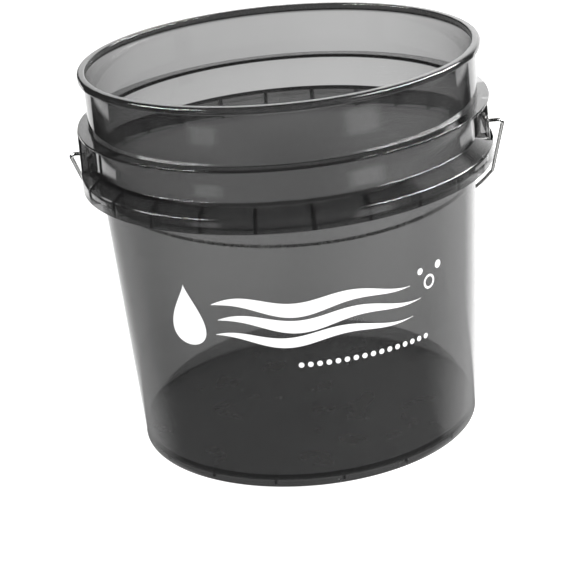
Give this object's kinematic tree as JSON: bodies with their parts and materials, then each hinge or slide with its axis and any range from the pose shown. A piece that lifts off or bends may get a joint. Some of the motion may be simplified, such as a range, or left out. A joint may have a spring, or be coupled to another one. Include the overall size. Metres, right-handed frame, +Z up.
{
  "type": "wash bucket",
  "caption": "Tapered see-through plastic wash bucket with a beaded rim, a ribbed ring under two hollow handle ears, a raised floor and a swinging wire bail.",
  "frame": {"origin": "centre of the foot ring, on the surface that the bucket stands on", "axes": "+X along the bail's hinge axis, from ear to ear; +Y towards the side on which the bail hangs at rest; +Z up"},
  "size_m": [0.3348, 0.3152, 0.299],
  "materials": {
    "smoked_plastic": "smoked see-through gloss",
    "bail_steel": "zinc plated wire"
  },
  "bodies": {
    "pail": {"bucket": "smoked_plastic"},
    "handle": {"bail": "bail_steel"}
  },
  "joints": [
    {"name": "bail_swing", "type": "hinge", "parent": "pail", "child": "handle", "pos_m": [0, 0, 0.2308], "axis": [1, 0, 0], "range_deg": [0, 270]}
  ]
}
